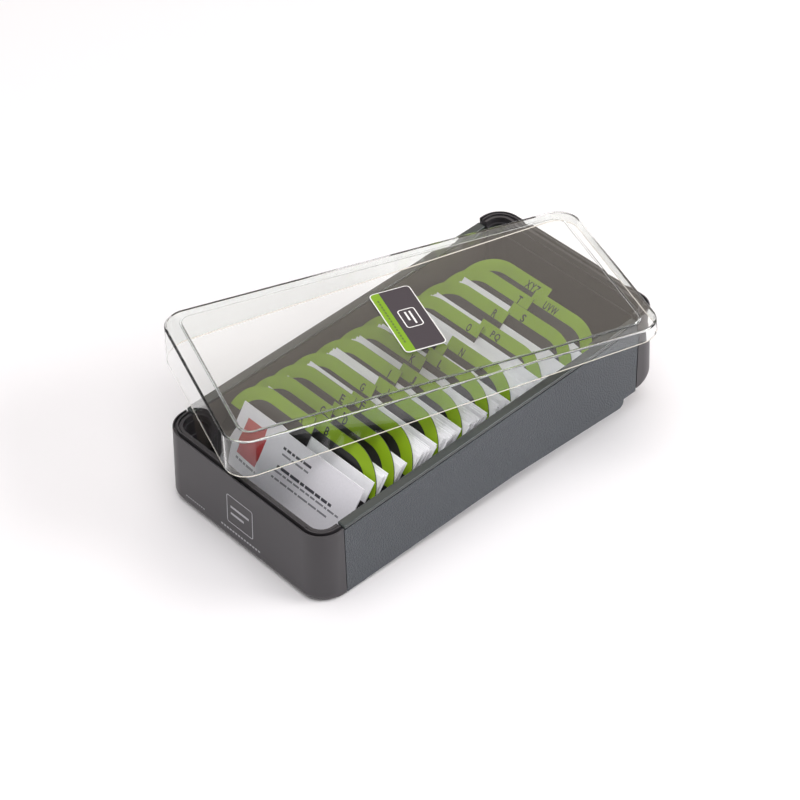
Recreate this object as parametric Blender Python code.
"""Desk card tray: a lidded filing tray for business cards with an A to Z index deck.

The tray stands in its own frame: X runs across, Y runs from front to rear, Z is up, and the
origin is the middle of the flat underside.  The body leans forward on a wedge plinth, so every
tray piece is drawn level in the tray frame and hangs on one tilted empty.
"""
import math

import bmesh
import bpy
from mathutils import Euler, Vector

MM = 0.001
GAP = 0.3                     # clearance between touching pieces

# Body
TRAY_WIDTH = 120.3
SEAM_LENGTH = 210.6           # side panels, from the front cap's seam to the rear cap's
CAP_DEPTH = 18.6              # each moulded end, from its seam to its outer face
CAP_CORNER = 13.0             # plan radius of an end's upright corners
CAP_DRAFT = 2.2               # the outer face leans in by this much at the top
CAP_FOOT_RADIUS = 5.0         # the lower edge of the outer face rolls under
CAP_WALL = 4.6
FRONT_HEIGHT = 46.1           # top of the walls at the front seam
REAR_HEIGHT = 48.9            # top of the walls at the rear seam
REAR_CAP_RISE = 3.4           # the rear end stands this much above the walls
REAR_CAP_BASE = 1.8           # the rear end's underside stands this far above the body's
RIM_LIP = 2.6                 # outer lip round each end, outside the lid's seat
RIM_DEPTH = 1.6               # depth of that seat
FLOOR = 2.5                   # top of the tray floor
PANEL_THICKNESS = 2.7
PANEL_INSET = 0.1             # the panel's face lies this far behind the rail's
RAIL_WIDTH = 5.3
RAIL_HEIGHT = 2.4
RAIL_EDGE = 0.5
LINER_WALL = 1.8
SEAM_GAP = 0.5

# Wedge plinth
TILT = math.radians(3.6)
PLINTH_INSET = 6.3
PLINTH_SPAN = (12.0, 208.5)   # front and rear ends, from the front seam
PLINTH_HEEL = 4.0             # rounded lower rear corner

# Index deck
DIVIDER_WIDTH = 105.0
DIVIDER_HEIGHT = 64.0
DIVIDER_LOW_SIDE = 44.0       # height of the half without a tab
DIVIDER_CORNER = 25.0
DIVIDER_LOW_CORNER = 3.0      # outer corner of the low half
DIVIDER_FOOT_CORNER = 2.0
TAB_CORNER = 1.0              # corner of the tab beside the middle cut
DIVIDER_THICKNESS = 0.6
TAB_OVERLAP = 2.6             # a tab runs this far past the middle
LEAN_MIDDLE = 45.9            # degrees, for a card whose foot is LEAN_PLACE from the seam
LEAN_PLACE = 80.0
LEAN_SPREAD = 0.1255          # degrees more for each millimetre further back
CARD_SIZE = (90.0, 55.0)
CARD_SHIFT = 5.0              # the packs are pushed this far to the right of the middle
FIRST_FOOT = -3.2

# name, tab side, floor room up to the next divider, thickness of the card pack behind it
INDEX = (
    ("a", -1, 4.1, 0.0), ("b", 1, 8.0, 4.2), ("c", -1, 3.2, 0.0), ("d", 1, 9.1, 5.2),
    ("e", -1, 2.6, 0.0), ("f", 1, 10.2, 8.6), ("g", -1, 6.1, 2.2), ("h", 1, 10.1, 8.4),
    ("i", -1, 5.3, 1.8), ("j", 1, 10.6, 8.8), ("k", -1, 7.1, 3.4), ("l", 1, 7.0, 5.2),
    ("m", -1, 7.5, 3.2), ("n", 1, 16.3, 14.2), ("o", -1, 4.7, 3.0), ("pq", 1, 13.1, 8.0),
    ("r", -1, 8.0, 1.6), ("s", 1, 9.4, 6.4), ("t", -1, 6.7, 0.0), ("uvw", 1, 6.2, 0.0),
    ("xyz", -1, 0.0, 0.0),
)

# Loose cards in front of the deck and behind its first divider: foot from the seam, shift
FRONT_CARD = (-8.8, 5.0)
SECOND_CARD = (-2.2, 4.3)
LOOSE_CARD_THICKNESS = 0.6

# Back rest behind the last divider
REST_WIDTH = 84.0
REST_HEIGHT = 44.0
REST_THICKNESS = 1.6
REST_FOOT = 16.0

# Lid
LID_LENGTH = 238.0
LID_WIDTH = 117.8
LID_FRONT_DEPTH = 23.4
LID_REAR_DEPTH = 7.4
LID_CORNER = 13.5
LID_INNER_CORNER = 2.0        # no ring of the lid has a tighter corner than this
LID_DRAFT = 0.9
LID_ROOF_SHIFT = 1.1          # the roof sits this far back of the rim
LID_EDGE = 2.4                # radius of the top edges
LID_WALL = 1.5
LABEL_SIZE = (53.0, 22.8)
LABEL_CORNER = 1.6
LABEL_THICKNESS = 0.4
# The lid lies askew on the open tray: middle of its rim in the tray frame, then turn, roll, pitch
LID_PLACE = (-7.8, 108.8, 55.9)
LID_TURN = (-21.15, -3.13, 3.18)   # degrees

HALF = TRAY_WIDTH / 2
CENTRE = SEAM_LENGTH / 2
FRONT_CONTACT = CAP_FOOT_RADIUS - CAP_DEPTH   # where the level underside starts


def wall_top(y):
    """Height of the side walls at a distance y from the front seam."""
    return FRONT_HEIGHT + (REAR_HEIGHT - FRONT_HEIGHT) * y / SEAM_LENGTH


def table(y):
    """Height of the table top in the tray frame."""
    return -(y - FRONT_CONTACT) * math.tan(TILT)


def lean(foot):
    """Backward lean, in radians, of a card whose foot is this far from the front seam."""
    return math.radians(LEAN_MIDDLE + LEAN_SPREAD * (foot - LEAN_PLACE))


# ---------------------------------------------------------------- scene and materials

for leftover in list(bpy.data.objects):
    bpy.data.objects.remove(leftover, do_unlink=True)


def material(name, colour, roughness, alpha=1.0):
    made = bpy.data.materials.new(name)
    made.use_nodes = True
    shader = made.node_tree.nodes["Principled BSDF"]
    shader.inputs["Base Color"].default_value = (*colour, 1.0)
    shader.inputs["Roughness"].default_value = roughness
    shader.inputs["Metallic"].default_value = 0.0
    shader.inputs["Alpha"].default_value = alpha
    return made


# name: linear colour, roughness, alpha
FINISHES = {
    "cap": ((0.075, 0.072, 0.076), 0.45, 1.0),
    "panel": ((0.125, 0.135, 0.145), 0.6, 1.0),
    "rail": ((0.075, 0.08, 0.08), 0.4, 1.0),
    "liner": ((0.09, 0.085, 0.08), 0.5, 1.0),
    "plinth": ((0.11, 0.115, 0.125), 0.6, 1.0),
    "lid": ((0.93, 0.95, 0.96), 0.05, 0.3),
    "label": ((0.16, 0.13, 0.16), 0.4, 1.0),
    "divider": ((0.3, 0.42, 0.055), 0.5, 1.0),
    "card": ((0.85, 0.85, 0.87), 0.55, 1.0),
    "printed card": ((0.55, 0.54, 0.6), 0.4, 1.0),
}


def new_object(name, bm, finish, parent):
    """Puts a mesh under its parent, with its material, shaded smooth up to 35 degrees."""
    bmesh.ops.recalc_face_normals(bm, faces=bm.faces)
    mesh = bpy.data.meshes.new(name)
    bm.to_mesh(mesh)
    bm.free()
    mesh.shade_smooth()
    mesh.set_sharp_from_angle(angle=math.radians(35))
    made = bpy.data.objects.new(name, mesh)
    bpy.context.scene.collection.objects.link(made)
    made.parent = parent
    colour, roughness, alpha = FINISHES[finish]
    mesh.materials.append(material(name, colour, roughness, alpha))
    return made


def new_empty(name, parent=None, place=(0, 0, 0), turn=None):
    made = bpy.data.objects.new(name, None)
    bpy.context.scene.collection.objects.link(made)
    made.parent = parent
    made.location = Vector(place) * MM
    if turn is not None:
        made.rotation_euler = turn
    return made


# The tray frame: y counts from the front seam and z from the level underside of the body.
# Tilting it about the front contact line brings that underside's wedge flat onto the table.
drop = FRONT_CONTACT * math.sin(TILT)
tray_frame = new_empty(
    "tray_frame",
    place=(0, -CENTRE * math.cos(TILT), -drop),
    turn=Euler((TILT, 0, 0)),
)


# ---------------------------------------------------------------- shape helpers

def arc(centre, radius, start, end, steps):
    """Points of an arc in a plane, angles in degrees."""
    angles = [math.radians(start + (end - start) * i / steps) for i in range(steps + 1)]
    return [(centre[0] + radius * math.cos(a), centre[1] + radius * math.sin(a)) for a in angles]


def skin(bm, rings):
    """Joins equal rings of points (in millimetres) into one skin, closed by a face at each end."""
    loops = [[bm.verts.new(Vector(p) * MM) for p in ring] for ring in rings]
    count = len(loops[0])
    for low, high in zip(loops, loops[1:]):
        for i in range(count):
            j = (i + 1) % count
            bm.faces.new((low[i], low[j], high[j], high[i]))
    bm.faces.new(loops[0])
    bm.faces.new(loops[-1])


def prism(outline, place):
    """A prism between two copies of an outline; place(point, end) gives each corner in space."""
    bm = bmesh.new()
    skin(bm, [[place(p, end) for p in outline] for end in (0, 1)])
    return bm


def block(x, y, z):
    """A box from three (low, high) pairs; a height may be a function of y."""
    corners = [(x[0], y[0]), (x[1], y[0]), (x[1], y[1]), (x[0], y[1])]
    height = [h if callable(h) else (lambda _, h=h: h) for h in z]
    return prism(corners, lambda p, end: (p[0], p[1], height[end](p[1])))


def rounded_box(width, length, radius, steps=7):
    """A rounded rectangle round the origin, anticlockwise from the +x side."""
    x, y = width / 2 - radius, length / 2 - radius
    corners = (((x, y), 0), ((-x, y), 90), ((-x, -y), 180), ((x, -y), 270))
    return [p for centre, turn in corners for p in arc(centre, radius, turn, turn + 90, steps)]


def cut(target, cutter):
    """Takes a hidden cutter out of a piece."""
    cutter.hide_render = True
    cutter.display_type = "WIRE"
    boolean = target.modifiers.new(cutter.name, "BOOLEAN")
    boolean.operation = "DIFFERENCE"
    boolean.solver = "EXACT"
    boolean.object = cutter


# ---------------------------------------------------------------- moulded ends

def end_outline(side, inset, reach, back):
    """Plan of an end: two rounded corners and a flat side at the seam.

    side is -1 at the front and +1 at the rear, reach the distance from the seam to the face.
    """
    radius = CAP_CORNER - inset
    x, y = HALF - inset - radius, reach - inset - radius
    points = [(HALF - inset, -back)]
    points += arc((x, y), radius, 0, 90, 8)
    points += arc((-x, y), radius, 90, 180, 8)
    points.append((inset - HALF, -back))
    seam = SEAM_LENGTH if side > 0 else 0.0
    return [(px, seam + side * py) for px, py in points]


def end_cap(name, side, base, top):
    """One moulded end: a drafted face, rolled under below, and a stepped rim for the lid."""
    bm = bmesh.new()
    rings = []
    steps = 5
    for i in range(steps + 1):
        angle = math.radians(90 * i / steps)
        reach = CAP_DEPTH - CAP_FOOT_RADIUS * (1 - math.sin(angle))
        height = base + CAP_FOOT_RADIUS * (1 - math.cos(angle))
        rings.append([(x, y, height) for x, y in end_outline(side, 0.0, reach, -SEAM_GAP)])
    upper = end_outline(side, 0.0, CAP_DEPTH - CAP_DRAFT, -SEAM_GAP)
    rings.append([(x, y, top) for x, y in upper])
    skin(bm, rings)
    body = new_object(name, bm, "cap", tray_frame)
    reach = CAP_DEPTH - CAP_DRAFT
    above = top + CAP_WALL
    hollow = end_outline(side, CAP_WALL, reach, 2 * GAP)
    room = prism(hollow, lambda p, end: (p[0], p[1], (base + FLOOR, above)[end]))
    cut(body, new_object(name + "_hollow", room, "cap", tray_frame))
    seat = end_outline(side, RIM_LIP, reach, 2 * GAP)
    ledge = prism(seat, lambda p, end: (p[0], p[1], (top - RIM_DEPTH, above)[end]))
    cut(body, new_object(name + "_seat", ledge, "cap", tray_frame))


end_cap("front_cap", -1, 0.0, FRONT_HEIGHT)
end_cap("rear_cap", 1, REAR_CAP_BASE, REAR_HEIGHT + REAR_CAP_RISE)


# ---------------------------------------------------------------- walls, floor and plinth

def under_rail(y):
    """Top of the pieces that the rail covers."""
    return wall_top(y) - RAIL_HEIGHT - GAP


def side_wall(word, side):
    """Grained outer panel and the smooth rail that covers the top of the wall."""
    span = (0.0, SEAM_LENGTH)
    outer = sorted((side * (HALF - PANEL_THICKNESS), side * (HALF - PANEL_INSET)))
    panel = block(outer, span, (0.0, under_rail))
    new_object("side_panel_" + word, panel, "panel", tray_frame)
    across = sorted((side * (HALF - RAIL_WIDTH), side * HALF))
    rail = block(across, span, (lambda y: wall_top(y) - RAIL_HEIGHT, wall_top))
    made = new_object("top_rail_" + word, rail, "rail", tray_frame)
    edge = made.modifiers.new("soft edges", "BEVEL")
    edge.width = RAIL_EDGE * MM
    edge.segments = 2
    edge.limit_method = "ANGLE"


side_wall("left", -1)
side_wall("right", 1)


def tray_liner():
    """Floor and inner walls in one channel between the two ends."""
    outer = HALF - PANEL_THICKNESS - GAP
    inner = outer - LINER_WALL
    bm = bmesh.new()
    rings = []
    for y in (0.0, SEAM_LENGTH):
        top = under_rail(y)
        section = [(-outer, 0.0), (outer, 0.0), (outer, top), (inner, top), (inner, FLOOR),
                   (-inner, FLOOR), (-inner, top), (-outer, top)]
        rings.append([(x, y, z) for x, z in section])
    skin(bm, rings)
    new_object("tray_liner", bm, "liner", tray_frame)


tray_liner()


def plinth():
    """Wedge foot: level with the tray's underside above, flat on the table below."""
    front, rear = PLINTH_SPAN
    heel = arc((rear - PLINTH_HEEL, table(rear) + PLINTH_HEEL), PLINTH_HEEL, 0, -90, 5)
    heel = [(y, max(z, table(y))) for y, z in heel]
    outline = [(front, -GAP), (front, table(front)), *reversed(heel), (rear, -GAP)]
    half = HALF - PLINTH_INSET
    bm = prism(outline, lambda p, end: ((-half, half)[end], p[0], p[1]))
    new_object("plinth_foot", bm, "plinth", tray_frame)


plinth()


# ---------------------------------------------------------------- index deck

def leaning(foot, angle):
    """Empty on the foot of a card: local x across, local z up the card, local y behind it."""
    height = FLOOR + GAP + DIVIDER_THICKNESS
    return new_empty("foot", tray_frame, (0, foot, height), Euler((-angle, 0, 0)))


def divider_outline(side):
    """Index card from the front, with its tab on one half and round outer corners."""
    half, tall, low = DIVIDER_WIDTH / 2, DIVIDER_HEIGHT, DIVIDER_LOW_SIDE
    foot, edge, top = DIVIDER_FOOT_CORNER, DIVIDER_LOW_CORNER, TAB_CORNER
    points = arc((half - foot, foot), foot, -90, 0, 2)
    points += arc((half - DIVIDER_CORNER, tall - DIVIDER_CORNER), DIVIDER_CORNER, 0, 90, 10)
    points += arc((top - TAB_OVERLAP, tall - top), top, 90, 180, 2)
    points.append((-TAB_OVERLAP, low))
    points += arc((edge - half, low - edge), edge, 90, 180, 3)
    points += arc((foot - half, foot), foot, 180, 270, 2)
    return [(side * x, z) for x, z in points]


def divider(name, side, parent):
    outline = divider_outline(side)
    depth = (0.0, DIVIDER_THICKNESS)
    bm = prism(outline, lambda p, end: (p[0], depth[end], p[1]))
    return new_object("divider_" + name, bm, "divider", parent)


def card_pack(name, parent, angle, thickness):
    """Cards standing on the floor one behind another, so the pack's section is sheared."""
    start = DIVIDER_THICKNESS + GAP
    depth = thickness * math.cos(angle)
    rise = math.tan(angle)
    width, height = CARD_SIZE
    corners = [(start, start * rise), (start + depth, (start + depth) * rise),
               (start + depth, (start + depth) * rise + height), (start, start * rise + height)]
    sides = (CARD_SHIFT - width / 2, CARD_SHIFT + width / 2)
    bm = prism(corners, lambda p, end: (sides[end], p[0], p[1]))
    return new_object("card_pack_" + name, bm, "card", parent)


def index_deck():
    """Dividers and packs, each group leaning a little more than the one in front of it."""
    foot = FIRST_FOOT
    for name, side, room, pack in INDEX:
        angle = lean(foot)
        stand = leaning(foot, angle)
        divider(name, side, stand)
        if pack:
            card_pack(name, stand, angle, pack)
        foot += room
    return foot


def loose_card(name, values):
    foot, shift = values
    stand = leaning(foot, lean(foot))
    width, height = CARD_SIZE
    span = (shift - width / 2, shift + width / 2)
    bm = block(span, (0.0, LOOSE_CARD_THICKNESS), (0.0, height))
    new_object(name, bm, "printed card", stand)


def back_rest(foot):
    """Folded plate that holds the last divider at its lean, with its foot on the floor."""
    angle = lean(foot)
    start = foot + (DIVIDER_THICKNESS + GAP) / math.cos(angle)
    floor = FLOOR + GAP
    thick = REST_THICKNESS / math.cos(angle)
    along = (math.sin(angle) * REST_HEIGHT, math.cos(angle) * REST_HEIGHT)
    outline = [
        (start, floor), (start + thick + REST_FOOT, floor),
        (start + thick + REST_FOOT, floor + REST_THICKNESS),
        (start + thick + REST_THICKNESS * math.tan(angle), floor + REST_THICKNESS),
        (start + thick + along[0], floor + along[1]), (start + along[0], floor + along[1]),
    ]
    half = REST_WIDTH / 2
    bm = prism(outline, lambda p, end: ((-half, half)[end], p[0], p[1]))
    new_object("back_rest", bm, "liner", tray_frame)


last_foot = index_deck()
loose_card("front_card", FRONT_CARD)
loose_card("second_card", SECOND_CARD)
back_rest(last_foot)


# ---------------------------------------------------------------- lid

def lid_depth(y):
    """Height of the lid's top above its rim, y from the lid's middle."""
    share = y / LID_LENGTH + 0.5
    return LID_FRONT_DEPTH + (LID_REAR_DEPTH - LID_FRONT_DEPTH) * share


def lid_ring(inset, drop_from_top=None):
    corner = max(LID_CORNER - inset, LID_INNER_CORNER)
    outline = rounded_box(LID_WIDTH - 2 * inset, LID_LENGTH - 2 * inset, corner)
    if drop_from_top is None:
        return [(x, y, 0.0) for x, y in outline]
    return [(x, y + LID_ROOF_SHIFT, lid_depth(y) - drop_from_top) for x, y in outline]


def lid_side(wall):
    """Rings from the rim up the drafted wall and over the round top edge; wall sets it in."""
    edge = LID_EDGE - wall
    steps = 5
    rings = [lid_ring(wall)]
    for i in range(steps + 1):
        angle = math.radians(90 * i / steps)
        inset = LID_DRAFT + wall + edge * (1 - math.cos(angle))
        rings.append(lid_ring(inset, wall + edge * (1 - math.sin(angle))))
    return rings


lid_turn, lid_roll, lid_pitch = (math.radians(a) for a in LID_TURN)
lid_frame = new_empty("lid_frame", tray_frame, LID_PLACE)
lid_frame.rotation_mode = "XYZ"
lid_frame.rotation_euler = Euler((lid_pitch, lid_roll, lid_turn), "XYZ")


def lid_shell():
    """Clear tapered cover: deep at the front, shallow at the rear, open below."""
    bm = bmesh.new()
    outside = lid_side(0.0)
    inside = lid_side(LID_WALL)
    skin(bm, list(reversed(outside)) + inside)
    new_object("lid_shell", bm, "lid", lid_frame)


def lid_label():
    """Printed sticker in the middle of the lid's top."""
    outline = rounded_box(*LABEL_SIZE, LABEL_CORNER, 3)
    levels = (GAP, GAP + LABEL_THICKNESS)
    bm = prism(outline, lambda p, end: (p[0], p[1], lid_depth(p[1]) + levels[end]))
    new_object("lid_label", bm, "label", lid_frame)


lid_shell()
lid_label()
